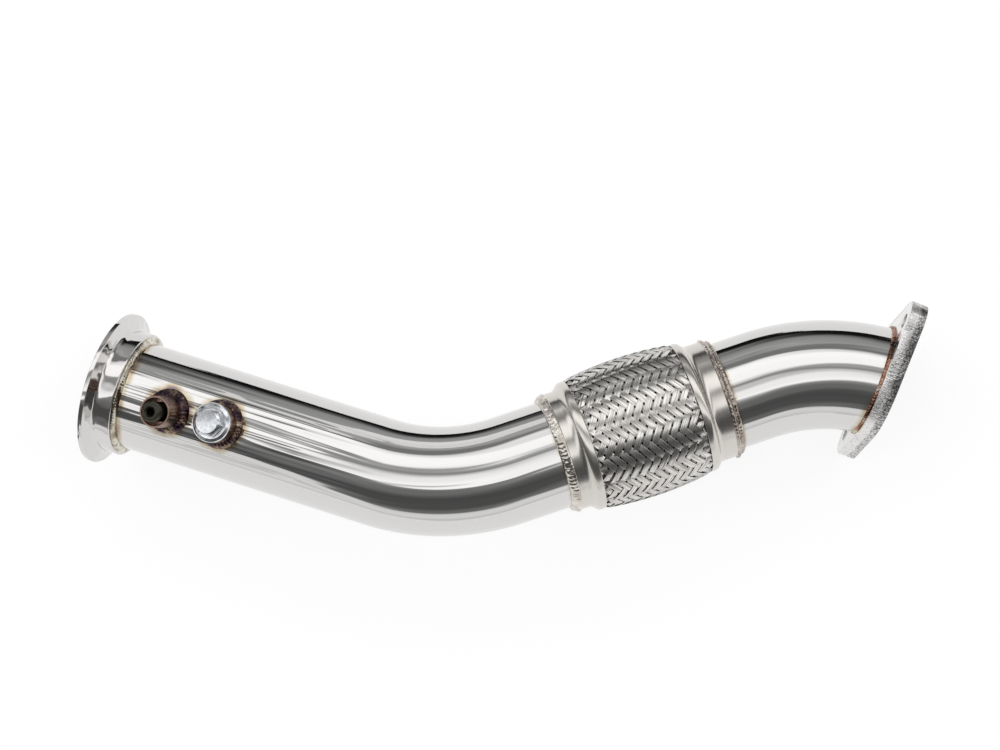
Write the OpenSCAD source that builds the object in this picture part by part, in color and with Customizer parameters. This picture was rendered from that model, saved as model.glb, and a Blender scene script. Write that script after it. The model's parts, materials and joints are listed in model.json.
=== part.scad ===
// Turbo downpipe: clamp flange, bent pipe with two ports, braided flex coupler, bent pipe, bolt flange.
// Each piece is built along the pipe route from the mouth of the inlet, then laid down as it rests.

/* [Pipe] */
// outside diameter of both bent pipes
pipe_od = 76.2; // [60:0.1:92]
// wall of the bent pipes
pipe_wall = 1.5; // [1.2:0.1:2.0]

/* [Route] */
// straight run from the inlet mouth to the first bend
inlet_leg = 208.7; // [180:0.1:240]
// centre line radius of the first bend
inlet_bend_radius = 122; // [112:1:150]
// angle of the first bend
inlet_bend_angle = 42.8; // [35:0.1:50]
// straight run between the two bends, with the flex coupler on it
flex_leg = 183.2; // [175:0.1:230]
// turn of the second bend plane about that run
outlet_roll = 213.4; // [200:0.1:225]
// centre line radius of the second bend
outlet_bend_radius = 152.4; // [130:0.1:170]
// angle of the second bend
outlet_bend_angle = 30; // [20:0.5:40]
// straight run from the second bend to the back of the outlet flange
outlet_leg = 3.5; // [2:0.5:20]

/* [Inlet clamp flange] */
// how far the clamp rim stands out from the pipe
rim_rise = 15.9; // [13:0.1:19]
// width of the cylindrical rim
rim_width = 3.2; // [2.5:0.1:4.5]
// slope of the clamp face behind the rim
clamp_angle = 20; // [15:1:25]
// how far the neck behind the clamp face stands out from the pipe
neck_rise = 5.9; // [4:0.1:8]
// radius of the fillet between clamp face and neck
neck_fillet = 3; // [2:0.5:4]
// length of the flange from mouth to neck end
inlet_flange_length = 19.5; // [17:0.5:26]
// depth of the lip the pipe end stops at
pipe_seat = 6.5; // [5:0.5:9]
// how far the gasket recess in the mouth reaches out from the pipe
gasket_reach = 8.4; // [7:0.1:10]
// depth of the gasket recess
gasket_depth = 1.6; // [1:0.2:2.2]

/* [Tall port] */
// distance of the tall port from the inlet mouth
tall_port_at = 59.1; // [54:0.1:64]
// turn of the tall port about the pipe
tall_port_clock = 126.5; // [110:0.5:140]
// outside diameter of the tall boss
tall_boss_od = 22.2; // [21:0.2:24]
// height of the tall boss above the pipe
tall_boss_height = 25; // [20:0.5:30]
// wall of the tall boss round its open well
tall_boss_wall = 1.6; // [1.2:0.1:2.2]
// depth of the open well
tall_well_depth = 12; // [8:0.5:15]
// diameter of the line fitting that stands in the well
line_fitting_d = 13.9; // [12:0.1:15]
// height of the line fitting above the rim of the boss
line_fitting_rise = 9.5; // [4:0.5:12]
// bore of the line fitting
line_bore_d = 5.6; // [4:0.2:7]

/* [Short port] */
// distance of the short port from the inlet mouth
short_port_at = 98.2; // [96:0.1:110]
// turn of the short port about the pipe
short_port_clock = 122.5; // [110:0.5:140]
// outside diameter of the short boss
short_boss_od = 27.4; // [26:0.2:29]
// height of the short boss above the pipe
short_boss_height = 12.6; // [10:0.2:16]
// thread diameter of the plug
plug_thread_d = 18; // [16:0.5:19]
// length of the plug shank
plug_shank = 13; // [9:0.5:14]
// diameter of the plug flange
plug_flange_d = 28; // [26.5:0.5:30]
// width across the flats of the plug hexagon
plug_hex = 19; // [17:0.5:21]
// height of the plug hexagon
plug_hex_height = 8.4; // [6:0.2:10]
// how far the sealing washer lies in from the edge of the plug flange
washer_inset = 0.8; // [0.4:0.1:1.6]
// thickness of the sealing washer
washer_thickness = 1.5; // [1:0.1:2]

/* [Flex coupler] */
// distance of the inlet cap edge from the end of the first bend
flex_at = 36.7; // [34:0.1:40]
// length of the inlet cap
inlet_cap_length = 19; // [18:0.5:22]
// length of the outlet cap
outlet_cap_length = 22.5; // [19:0.5:24]
// length of braid between the two cap lips
braid_length = 77.7; // [70:0.1:84]
// how far the cap collars stand out from the pipe
collar_rise = 3.8; // [3.4:0.1:5]
// how far the cap lips stand out from the collars
lip_rise = 4.5; // [3.6:0.1:5.4]
// sheet thickness of the caps
cap_wall = 1.4; // [1.2:0.1:1.5]
// how far the braid's middle stands out from the lips
braid_rise = 3.4; // [2.4:0.1:4.6]
// how far the braid's shoulders stand out from the lips
shoulder_rise = 0.9; // [0.6:0.1:1.6]
// thickness of the braid
braid_wall = 1.7; // [1.4:0.1:2]
// length of pipe pushed into each cap
pipe_insert = 10; // [8:0.5:11]
// number of bellows waves
bellows_waves = 10; // [8:1:11]
// sheet thickness of the bellows
bellows_wall = 0.6; // [0.5:0.05:0.8]
// number of turns seen along the interlocked liner
liner_turns = 9; // [7:1:11]

/* [Outlet flange] */
// thickness of the bolt flange
flange_thickness = 12; // [10:0.5:14]
// distance of each bolt hole's centre from the pipe
bolt_reach = 16.5; // [14:0.1:20]
// diameter of the bolt holes
bolt_hole_d = 10.5; // [8.5:0.5:12]
// radius of the rounded flange ends
flange_end_r = 15; // [14:0.5:17]
// how far the flange reaches out round the pipe
flange_margin = 4.9; // [4.2:0.1:8]
// lean of the flange against the pipe axis
flange_tilt = 9.1; // [4:0.1:12]
// direction of that lean about the pipe axis
flange_tilt_turn = 10.4; // [0:0.1:30]
// turn of the bolt line about the flange axis
bolt_line_turn = 32.8; // [20:0.1:45]

/* [Welds] */
// run of the inlet flange's weld along the pipe
weld_run = 4; // [3:0.5:7.5]
// run of the coupler welds along the pipe
coupler_weld_run = 5.7; // [4.5:0.1:7]
// how far the coupler welds bulge out of a straight slope
coupler_weld_bulge = 1.8; // [1:0.1:2.4]
// overlap of the coupler welds on the caps
coupler_weld_lap = 3.8; // [2:0.2:4.6]
// leg of the weld at the outlet flange
flange_weld_leg = 4.6; // [3.5:0.1:6]
// how far the round welds bulge out of a straight slope
weld_bulge = 1.2; // [0.6:0.1:1.8]
// height of the port welds
port_weld_height = 4.2; // [3:0.1:5]
// how far the tall port's weld reaches out from its boss
tall_weld_run = 4.9; // [3.4:0.1:6]
// how far the short port's weld reaches out from its boss
short_weld_run = 3.7; // [2.8:0.1:4.8]

/* [Hidden] */
// gap between pieces that fit in each other
fit_gap = 0.1;
// gap between a weld or a boss and what it joins
seam_gap = 0.05;
// how far the pipe draws in through a bend, and how far a straight runs over the bend's end
bend_draw = 0.02;
bend_lap = 0.5;
// how far a cut runs on past what it cuts
over = 1;
// how far above the pipe the line fitting starts, and the steel left under its edge
fitting_seat = 1.5;
// depth of the flared mouth of the line fitting
fitting_flare = 1.6;
// length of the inner sleeves beyond the pipe ends
nipple_reach = 4.5;
// turns about x, y and z that lay the part down on rim and flange
rest_attitude = [-38.088, -13.909, -15.048];
$fn = 96;

pipe_r = pipe_od / 2;
bore_r = pipe_r - pipe_wall;
rim_r = pipe_r + rim_rise;
neck_r = pipe_r + neck_rise;
gasket_r = pipe_r + gasket_reach;
tall_boss_r = tall_boss_od / 2;
tall_well_r = tall_boss_r - tall_boss_wall;
fitting_r = line_fitting_d / 2;
short_boss_r = short_boss_od / 2;
thread_r = plug_thread_d / 2;
plug_flange_r = plug_flange_d / 2;
cap_r = pipe_r + collar_rise;
lip_r = cap_r + lip_rise;
braid_r = lip_r + braid_rise;
bolt_offset = pipe_r + bolt_reach;
flange_mid_r = pipe_r + flange_margin;
flex_end = flex_at + inlet_cap_length + braid_length + outlet_cap_length;
cap_in_r = cap_r - cap_wall;
cuff_r = cap_in_r - fit_gap;
nipple_r = cuff_r - bellows_wall - fit_gap;
nipple_length = pipe_insert + nipple_reach;
flange_from_back = flange_thickness / cos(flange_tilt);

// turns of a direction about one axis
function turn_x(v, a) = [v.x, v.y * cos(a) - v.z * sin(a), v.y * sin(a) + v.z * cos(a)];
function turn_y(v, a) = [v.x * cos(a) + v.z * sin(a), v.y, v.z * cos(a) - v.x * sin(a)];
function turn_z(v, a) = [v.x * cos(a) - v.y * sin(a), v.x * sin(a) + v.y * cos(a), v.z];
function bent(v, r, a) = turn_z(v - [0, r, 0], a) + [0, r, 0];

// points and directions of each stretch, told from the inlet mouth
function leg_dir(v) = turn_z(v, inlet_bend_angle);
function leg_point(v) = bent(v, inlet_bend_radius, inlet_bend_angle) + [inlet_leg, 0, 0];
function out_dir(v) = leg_dir(turn_x(turn_z(v, outlet_bend_angle), outlet_roll));
function out_point(v) = leg_point([flex_leg, 0, 0]
    + turn_x(bent(v, outlet_bend_radius, outlet_bend_angle), outlet_roll));
function face_dir(v) = out_dir(turn_x(turn_z(v, flange_tilt), flange_tilt_turn));
function face_point(v) = out_point([outlet_leg + flange_from_back, 0, 0]
    + turn_x(turn_z(v, flange_tilt), flange_tilt_turn));
function laid(v) = turn_z(turn_y(turn_x(v, rest_attitude.x), rest_attitude.y), rest_attitude.z);

// rings that bound the part: centre, axis and radius
bolt_line = turn_x([0, bolt_offset, 0], bolt_line_turn);
rings = concat(
    [for (x = [0, rim_width]) [laid([x, 0, 0]), laid([1, 0, 0]), rim_r]],
    [for (i = [0:16]) let (a = inlet_bend_angle * i / 16)
        [laid([inlet_leg, 0, 0] + bent([0, 0, 0], inlet_bend_radius, a)),
        laid(turn_z([1, 0, 0], a)), pipe_r]],
    [for (x = [flex_at + inlet_cap_length, flex_end - outlet_cap_length])
        [laid(leg_point([x, 0, 0])), laid(leg_dir([1, 0, 0])), lip_r]],
    [for (x = [-flange_thickness, 0], s = [-1, 1])
        [laid(face_point([x, 0, 0] + s * bolt_line)), laid(face_dir([1, 0, 0])), flange_end_r]],
    [for (x = [-flange_thickness, 0])
        [laid(face_point([x, 0, 0])), laid(face_dir([1, 0, 0])), flange_mid_r]]);
function reach(k, s) = [for (g = rings) g[0][k] + s * g[2] * sqrt(max(0, 1 - g[1][k] * g[1][k]))];
low = [for (k = [0:2]) min(reach(k, -1))];
high = [for (k = [0:2]) max(reach(k, 1))];

module resting() {
    translate([-(low.x + high.x) / 2, -(low.y + high.y) / 2, -low.z])
        rotate(rest_attitude)
            children();
}

// carries what is built along x to the end of the first bend
module at_flex(x = 0) {
    translate([inlet_leg, inlet_bend_radius, 0])
        rotate([0, 0, inlet_bend_angle])
            translate([x, -inlet_bend_radius, 0])
                children();
}

// carries what is built along x to the end of the second bend
module at_outlet() {
    at_flex(flex_leg)
        rotate([outlet_roll, 0, 0])
            translate([0, outlet_bend_radius, 0])
                rotate([0, 0, outlet_bend_angle])
                    translate([0, -outlet_bend_radius, 0])
                        children();
}

// carries what is built along x to the front face of the outlet flange
module at_face() {
    at_outlet()
        translate([outlet_leg + flange_from_back, 0, 0])
            rotate([flange_tilt_turn, 0, 0])
                rotate([0, 0, flange_tilt])
                    children();
}

// carries what is built along z to a port on the inlet pipe
module at_port(x, clock) {
    translate([x, 0, 0])
        rotate([clock - 90, 0, 0])
            children();
}

module rod(r, from, to) {
    translate([from, 0, 0])
        rotate([0, 90, 0])
            cylinder(r = r, h = to - from);
}

// turns a profile of radius and length round the x axis
module turned() {
    rotate([0, 90, 0])
        rotate_extrude()
            children();
}

// a straight, a bend towards y and a second straight
module swept(r, first, bend_r, bend_a, second) {
    rod(r, 0, first + bend_lap);
    translate([first, bend_r, 0])
        rotate([0, 0, -90])
            rotate_extrude(angle = bend_a)
                translate([bend_r, 0])
                    circle(r = r - bend_draw);
    translate([first, bend_r, 0])
        rotate([0, 0, bend_a])
            translate([0, -bend_r, 0])
                rod(r, -bend_lap, second);
}

// points along an arc round a centre
function arc(c, r, from, to, steps = 10) =
    [for (i = [0:steps]) let (a = from + (to - from) * i / steps) c + r * [cos(a), sin(a)]];
function reversed(v) = [for (i = [len(v) - 1:-1:0]) v[i]];
// surface of a weld that bulges out of the slope between two points
function bead(top, foot, bulge, steps = 8) = let (way = foot - top, out = [way.y, -way.x] / norm(way))
    [for (i = [0:steps]) let (t = i / steps) top + way * t + out * bulge * (1 - pow(2 * t - 1, 4))];
// a line of radius and length given a thickness towards the axis
function sheet(line, wall) = concat(line, [for (p = reversed(line)) p - [wall, 0]]);

// one profile turned: gasket recess, rim, sloped clamp face, fillet, neck and pipe seat
module inlet_flange() {
    edge = 0.3;
    bevel = 1;
    clamp_face_run = rim_r - edge - neck_r - neck_fillet * (1 - sin(clamp_angle));
    fillet_at = [neck_r + neck_fillet,
        rim_width + clamp_face_run * tan(clamp_angle) + neck_fillet * cos(clamp_angle)];
    color("silver")
        resting()
            turned()
                polygon(concat([[bore_r, gasket_depth], [gasket_r, gasket_depth],
                    [gasket_r, 0], [rim_r - edge, 0], [rim_r, edge], [rim_r, rim_width - edge],
                    [rim_r - edge, rim_width]], arc(fillet_at, neck_fillet, 270 - clamp_angle, 180),
                    [[neck_r, inlet_flange_length - bevel], [neck_r - bevel, inlet_flange_length],
                    [pipe_r + fit_gap, inlet_flange_length], [pipe_r + fit_gap, pipe_seat],
                    [bore_r, pipe_seat]]));
}

module inlet_flange_weld() {
    from = inlet_flange_length + seam_gap;
    low_r = pipe_r + seam_gap;
    top_r = neck_r - 0.6;
    color("goldenrod")
        resting()
            turned()
                polygon(concat([[low_r, from]], bead([top_r, from], [low_r, from + weld_run], weld_bulge)));
}

module inlet_pipe() {
    start = pipe_seat + fit_gap;
    color("lightsteelblue")
        resting()
            difference() {
                translate([start, 0, 0])
                    swept(pipe_r, inlet_leg - start, inlet_bend_radius, inlet_bend_angle,
                        flex_at + pipe_insert);
                translate([start - over, 0, 0])
                    swept(bore_r, inlet_leg - start + over, inlet_bend_radius, inlet_bend_angle,
                        flex_at + pipe_insert + over);
                at_port(tall_port_at, tall_port_clock)
                    cylinder(r = fitting_r - fitting_seat, h = pipe_od);
                at_port(short_port_at, short_port_clock)
                    cylinder(r = thread_r + fit_gap, h = pipe_od);
            }
}

// a boss turned along z and cut to the round of the pipe
module saddled(r, height) {
    difference() {
        cylinder(r = r, h = pipe_r + height);
        rod(pipe_r + seam_gap, -r - over, r + over);
    }
}

// a weld that follows the saddle between a boss and the pipe
module saddle_weld(boss_r, weld_r) {
    crown = 0.9;
    dip = 7;
    spread = 3.4;
    difference() {
        intersection() {
            rod(pipe_r + port_weld_height, -weld_r - over, weld_r + over);
            translate([0, 0, pipe_r - dip])
                cylinder(r1 = weld_r + spread, r2 = boss_r + crown, h = port_weld_height + dip);
            cylinder(r = weld_r, h = pipe_od);
        }
        rod(pipe_r + seam_gap, -weld_r - 2 * over, weld_r + 2 * over);
        cylinder(r = boss_r + seam_gap, h = pipe_od + over);
    }
}

module tall_boss() {
    top = pipe_r + tall_boss_height;
    bevel = 0.6;
    color("saddlebrown")
        resting()
            at_port(tall_port_at, tall_port_clock)
                difference() {
                    saddled(tall_boss_r, tall_boss_height);
                    translate([0, 0, top - tall_well_depth])
                        cylinder(r = tall_well_r, h = tall_well_depth + over);
                    translate([0, 0, top - bevel])
                        cylinder(r1 = tall_well_r, r2 = tall_well_r + bevel + seam_gap, h = bevel + seam_gap);
                    cylinder(r = fitting_r + fit_gap, h = top);
                }
}

module tall_boss_weld() {
    color("indigo")
        resting()
            at_port(tall_port_at, tall_port_clock)
                saddle_weld(tall_boss_r, tall_boss_r + tall_weld_run);
}

module line_fitting() {
    foot = pipe_r + fitting_seat;
    top = pipe_r + tall_boss_height + line_fitting_rise;
    bevel = 1.4;
    bore = line_bore_d / 2;
    color("dimgray")
        resting()
            at_port(tall_port_at, tall_port_clock)
                difference() {
                    union() {
                        translate([0, 0, foot])
                            cylinder(r = fitting_r, h = top - bevel - foot);
                        translate([0, 0, top - bevel])
                            cylinder(r1 = fitting_r, r2 = fitting_r - bevel, h = bevel);
                    }
                    cylinder(r = bore, h = top + over);
                    translate([0, 0, top - fitting_flare])
                        cylinder(r1 = bore, r2 = bore + fitting_flare + seam_gap,
                            h = fitting_flare + seam_gap);
                }
}

module short_boss() {
    color("rebeccapurple")
        resting()
            at_port(short_port_at, short_port_clock)
                difference() {
                    saddled(short_boss_r, short_boss_height);
                    cylinder(r = thread_r + fit_gap, h = pipe_od);
                }
}

module short_boss_weld() {
    color("indigo")
        resting()
            at_port(short_port_at, short_port_clock)
                saddle_weld(short_boss_r, short_boss_r + short_weld_run);
}

module hex_plug() {
    seat = pipe_r + short_boss_height + washer_thickness + 2 * seam_gap;
    collar = 2.2;
    cone = 1.2;
    cone_inset = 0.6;
    cone_land = 0.4;
    corner_drop = 1.4;
    crown_inset = 1.6;
    hex_at = seat + collar + cone;
    hex_r = plug_hex / 2 / cos(30);
    color("gainsboro")
        resting()
            at_port(short_port_at, short_port_clock) {
                translate([0, 0, seat - plug_shank])
                    cylinder(r = thread_r, h = plug_shank);
                translate([0, 0, seat])
                    cylinder(r = plug_flange_r, h = collar);
                translate([0, 0, seat + collar])
                    cylinder(r1 = plug_flange_r - cone_inset, r2 = hex_r + cone_land, h = cone);
                intersection() {
                    translate([0, 0, hex_at])
                        cylinder(r = hex_r, h = plug_hex_height, $fn = 6);
                    translate([0, 0, hex_at])
                        cylinder(r1 = hex_r + plug_hex_height - corner_drop,
                            r2 = plug_hex / 2 - crown_inset, h = plug_hex_height);
                }
            }
}

module plug_washer() {
    color("darkgoldenrod")
        resting()
            at_port(short_port_at, short_port_clock)
                translate([0, 0, pipe_r + short_boss_height + seam_gap])
                    difference() {
                        cylinder(r = plug_flange_r - washer_inset, h = washer_thickness);
                        translate([0, 0, -over])
                            cylinder(r = thread_r + fit_gap, h = washer_thickness + 2 * over);
                    }
}

// fillet weld from the pipe up on to a cap edge at x = 0, with the pipe on the low side
module coupler_weld() {
    low_r = pipe_r + seam_gap;
    lap_r = cap_r + seam_gap;
    turned()
        polygon(concat(bead([low_r, -coupler_weld_run], [lap_r, coupler_weld_lap], coupler_weld_bulge),
            [[lap_r, -seam_gap], [low_r, -seam_gap]]));
}

module flex_inlet_weld() {
    color("whitesmoke")
        resting()
            at_flex(flex_at)
                coupler_weld();
}

module flex_outlet_weld() {
    color("whitesmoke")
        resting()
            at_flex(flex_end)
                mirror([1, 0, 0])
                    coupler_weld();
}

// inner sleeve that takes the pipe end
module nipple() {
    difference() {
        rod(nipple_r, 0, nipple_length);
        rod(pipe_r + fit_gap, -over, nipple_length + over);
    }
}

module flex_inlet_nipple() {
    color("slategray")
        resting()
            at_flex(flex_at)
                nipple();
}

module flex_outlet_nipple() {
    color("slategray")
        resting()
            at_flex(flex_end)
                mirror([1, 0, 0])
                    nipple();
}

// collar, double bend and rolled lip of an end cap, pressed from one sheet
module cap(length) {
    rise = lip_r - cap_r;
    run = 8.6;
    rim_run = 2.6;
    corner = 0.5;
    turn = 2 * atan(rise / run);
    bend_r = (run * run + rise * rise) / (4 * rise);
    hollow = [cap_r + bend_r, length - rim_run - run];
    swell = [lip_r - bend_r, length - rim_run];
    lip = [lip_r - cap_wall / 2, length - cap_wall / 2];
    outside = concat(arc(hollow, bend_r, 180, 180 - turn), arc(swell, bend_r, -0.9 * turn, 0, 9));
    inside = concat(arc(hollow, bend_r + cap_wall, 180, 180 - turn),
        arc(swell, bend_r - cap_wall, -0.9 * turn, 0, 9));
    turned()
        polygon(concat([[cap_in_r, 0], [cap_r - corner, 0], [cap_r, corner]], outside,
            arc(lip, cap_wall / 2, 0, 180, 6), reversed(inside)));
}

module flex_inlet_cap() {
    color("silver")
        resting()
            at_flex(flex_at)
                cap(inlet_cap_length);
}

module flex_outlet_cap() {
    color("silver")
        resting()
            at_flex(flex_end)
                mirror([1, 0, 0])
                    cap(outlet_cap_length);
}

// woven sleeve as one swelling sheet, tucked under both cap lips
module flex_braid() {
    half = braid_length / 2;
    shoulder = 5;
    step = 2.6;
    step_drop = 0.8;
    tuck = 1.2;
    tuck_r = lip_r - cap_wall - fit_gap;
    edge_r = lip_r + shoulder_rise;
    step_r = edge_r - step_drop;
    swell_half = half - shoulder;
    sag = braid_r - edge_r;
    swell_r = (swell_half * swell_half + sag * sag) / (2 * sag);
    sweep_a = asin(swell_half / swell_r);
    outside = concat([[tuck_r, -half - tuck], [tuck_r, -half], [step_r, -swell_half - step]],
        arc([braid_r - swell_r, 0], swell_r, -sweep_a, sweep_a, 16),
        [[step_r, swell_half + step], [tuck_r, half], [tuck_r, half + tuck]]);
    color("gray")
        resting()
            at_flex(flex_at + inlet_cap_length + half)
                turned()
                    polygon(sheet(outside, braid_wall));
}

// folded sleeve with rounded waves between two plain cuffs
module flex_bellows() {
    cuff = 13;
    steps = 10;
    under_lips = 4;
    play = 0.4;
    wave_zone = braid_length + under_lips;
    end = wave_zone / 2 + cuff;
    crest = lip_r - cap_wall - fit_gap - braid_wall - play;
    flatness = 0.25;
    function wave(c) = (1 - c / sqrt(flatness + (1 - flatness) * c * c)) / 2;
    waves = [for (i = [0:bellows_waves * steps]) [cuff_r + (crest - cuff_r) * wave(cos(360 * i / steps)),
        (i / steps / bellows_waves - 0.5) * wave_zone]];
    color("darkgray")
        resting()
            at_flex(flex_at + inlet_cap_length + braid_length / 2)
                turned()
                    polygon(sheet(concat([[cuff_r, -end]], waves, [[cuff_r, end]]), bellows_wall));
}

// sleeve of strip hooked turn over turn, stepping between two radii
module flex_liner() {
    strip = 0.7;
    high_part = 0.6;
    end_gap = 0.5;
    hook = 1.3;
    length = flex_end - flex_at - 2 * (pipe_insert + end_gap);
    turn = length / liner_turns;
    lap = strip / turn;
    high_r = pipe_r;
    low_r = pipe_r - hook;
    outside = [for (i = [0:liner_turns - 1], p = [[high_r, 0], [high_r, high_part],
        [low_r, high_part], [low_r, 1]]) [p.x, (i + p.y) * turn]];
    inside = [for (i = [0:liner_turns - 1], p = [[high_r, i > 0 ? lap : 0], [high_r, high_part - lap],
        [low_r, high_part - lap], [low_r, i < liner_turns - 1 ? 1 + lap : 1]])
        [p.x - strip, (i + p.y) * turn]];
    color("darkslategray")
        resting()
            at_flex(flex_at + pipe_insert + end_gap)
                turned()
                    polygon(concat(outside, reversed(inside)));
}

module outlet_pipe() {
    start = flex_end - pipe_insert;
    color("lightsteelblue")
        resting()
            difference() {
                at_flex(start)
                    rotate([outlet_roll, 0, 0])
                        swept(pipe_r, flex_leg - start, outlet_bend_radius, outlet_bend_angle,
                            outlet_leg + flange_thickness);
                at_flex(start - over)
                    rotate([outlet_roll, 0, 0])
                        swept(bore_r, flex_leg - start + over, outlet_bend_radius, outlet_bend_angle,
                            outlet_leg + flange_thickness + over);
                at_face()
                    translate([-flange_thickness - seam_gap, -pipe_od, -pipe_od])
                        cube([pipe_od, 2 * pipe_od, 2 * pipe_od]);
            }
}

module outlet_flange_weld() {
    low_share = 0.63;
    toe_r = pipe_r + low_share * flange_weld_leg;
    foot_r = pipe_r + 1.4;
    root_r = pipe_r - 6;
    bulge = 0.6;
    color("peru")
        resting()
            difference() {
                at_face()
                    translate([-flange_thickness - seam_gap, flange_thickness * tan(flange_tilt), 0])
                        mirror([1, 0, 0])
                            turned()
                                polygon(concat([[root_r, flange_weld_leg], [root_r, 0]],
                                    bead([toe_r, 0], [foot_r, flange_weld_leg], bulge)));
                at_flex(flex_leg - over)
                    rotate([outlet_roll, 0, 0])
                        swept(pipe_r + seam_gap, over, outlet_bend_radius, outlet_bend_angle,
                            outlet_leg + 2 * flange_thickness);
            }
}

// flange outline: a round middle and two round ends joined by straight flanks
module flange_outline() {
    lean = asin((flange_mid_r - flange_end_r) / bolt_offset);
    polygon(concat(arc([0, bolt_offset], flange_end_r, lean, 180 - lean, 24),
        arc([0, 0], flange_mid_r, 180 - lean, 180 + lean, 24),
        arc([0, -bolt_offset], flange_end_r, 180 + lean, 360 - lean, 24),
        arc([0, 0], flange_mid_r, -lean, lean, 24)));
}

module outlet_flange() {
    color("slategray")
        resting()
            difference() {
                at_face()
                    translate([-flange_thickness, 0, 0])
                        rotate([bolt_line_turn, 0, 0])
                            rotate([0, 90, 0])
                                linear_extrude(flange_thickness)
                                    difference() {
                                        flange_outline();
                                        for (s = [-1, 1])
                                            translate([0, s * bolt_offset])
                                                circle(d = bolt_hole_d);
                                    }
                at_outlet()
                    rod(bore_r, -pipe_r, outlet_leg + flange_from_back + pipe_r);
            }
}

inlet_flange();
inlet_flange_weld();
inlet_pipe();
tall_boss();
tall_boss_weld();
line_fitting();
short_boss();
short_boss_weld();
hex_plug();
plug_washer();
flex_inlet_weld();
flex_inlet_nipple();
flex_inlet_cap();
flex_braid();
flex_bellows();
flex_liner();
flex_outlet_cap();
flex_outlet_nipple();
flex_outlet_weld();
outlet_pipe();
outlet_flange_weld();
outlet_flange();
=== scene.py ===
import json
import math
from functools import partial

import bpy
import numpy as np
from mathutils import Matrix, Vector


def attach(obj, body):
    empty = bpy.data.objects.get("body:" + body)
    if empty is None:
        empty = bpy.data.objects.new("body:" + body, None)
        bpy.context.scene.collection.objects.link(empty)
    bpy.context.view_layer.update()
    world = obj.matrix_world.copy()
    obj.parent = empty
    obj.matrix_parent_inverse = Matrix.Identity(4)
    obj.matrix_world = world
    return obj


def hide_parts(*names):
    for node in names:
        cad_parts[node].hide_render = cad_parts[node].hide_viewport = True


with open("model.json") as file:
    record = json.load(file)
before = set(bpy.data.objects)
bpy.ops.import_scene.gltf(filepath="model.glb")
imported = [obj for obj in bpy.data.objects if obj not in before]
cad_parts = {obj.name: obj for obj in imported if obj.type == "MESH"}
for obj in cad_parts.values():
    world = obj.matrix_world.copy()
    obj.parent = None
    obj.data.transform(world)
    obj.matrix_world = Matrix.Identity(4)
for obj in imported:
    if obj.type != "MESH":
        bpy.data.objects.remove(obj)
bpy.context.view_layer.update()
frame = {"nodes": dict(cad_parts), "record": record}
MM = 0.001

# Sizes of the part, in millimetres
PIPE_R, PIPE_WALL = 38.1, 1.5
BORE_R = PIPE_R - PIPE_WALL
INLET_LEG, INLET_BEND_R, INLET_BEND = 208.7, 122.0, 42.8
FLEX_LEG, OUTLET_ROLL = 183.2, 213.4
OUTLET_BEND_R, OUTLET_BEND, OUTLET_LEG = 152.4, 30.0, 3.5
REST_TURNS = (-38.088, -13.909, -15.048)

RIM_R, RIM_WIDTH, NECK_R, NECK_FILLET = 54.0, 3.2, 44.0, 3.0
CLAMP_ANGLE, INLET_FLANGE_LENGTH, NECK_WELD_RUN = 20.0, 19.5, 4.0
PIPE_SEAT, GASKET_R, GASKET_DEPTH = 6.5, 46.5, 1.6

TALL_PORT_AT, TALL_PORT_CLOCK = 59.1, 126.5
TALL_R, TALL_HEIGHT, WELL_R, WELL_DEPTH, TALL_WELD_R = 11.1, 25.0, 9.5, 12.0, 16.0
STUB_R, STUB_RISE, STUB_BORE_R = 6.95, 9.5, 2.8
SHORT_PORT_AT, SHORT_PORT_CLOCK = 98.2, 122.5
SHORT_R, SHORT_HEIGHT, THREAD_R, SHORT_WELD_R = 13.7, 12.6, 9.0, 17.4
PORT_WELD_HEIGHT = 4.2

FLEX_AT, INLET_CAP, BRAID_LENGTH, OUTLET_CAP = 36.7, 19.0, 77.7, 22.5
FLEX_END = FLEX_AT + INLET_CAP + BRAID_LENGTH + OUTLET_CAP
CAP_R, LIP_R, CAP_WALL = 41.9, 46.4, 1.4
BRAID_R, BRAID_SHOULDER_R = 49.8, 47.3
PIPE_INSERT = 10.0

FLANGE_TILT, FLANGE_TILT_TURN = 9.1, 10.4
FIT_GAP, SEAM_GAP = 0.1, 0.05
# The beads as they look, slimmer than the plain welds of the part that they stand for
COUPLER_BEAD_RUN, COUPLER_BEAD_LAP, FLANGE_BEAD_LEG = 4.3, 2.4, 2.2


# Places along the pipe
def move(x, y, z):
    return Matrix.Translation((x, y, z))


def turn(degrees, axis):
    return Matrix.Rotation(math.radians(degrees), 4, axis)


def bend(radius, degrees):
    """Carries a place round a bend towards +Y."""
    return move(0, radius, 0) @ turn(degrees, "Z") @ move(0, -radius, 0)


rim_mount = next(m for m in frame["record"]["mounts"] if m["name"] == "inlet_rim")
LAID = turn(REST_TURNS[2], "Z") @ turn(REST_TURNS[1], "Y") @ turn(REST_TURNS[0], "X")
MOUTH = move(*Vector(rim_mount["pos_m"]) / MM) @ LAID @ move(-RIM_WIDTH / 2, 0, 0)


def on_inlet(x=0.0):
    return MOUTH @ move(x, 0, 0)


def on_inlet_bend(degrees):
    return on_inlet(INLET_LEG) @ bend(INLET_BEND_R, degrees)


def on_flex(x=0.0):
    return on_inlet_bend(INLET_BEND) @ move(x, 0, 0)


def on_outlet_bend(degrees):
    return on_flex(FLEX_LEG) @ turn(OUTLET_ROLL, "X") @ bend(OUTLET_BEND_R, degrees)


def on_outlet(x=0.0):
    return on_outlet_bend(OUTLET_BEND) @ move(x, 0, 0)


def on_port(x, clock):
    """The port's own axis is Z, and the pipe runs along X."""
    return on_inlet(x) @ turn(clock - 90, "X")


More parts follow.
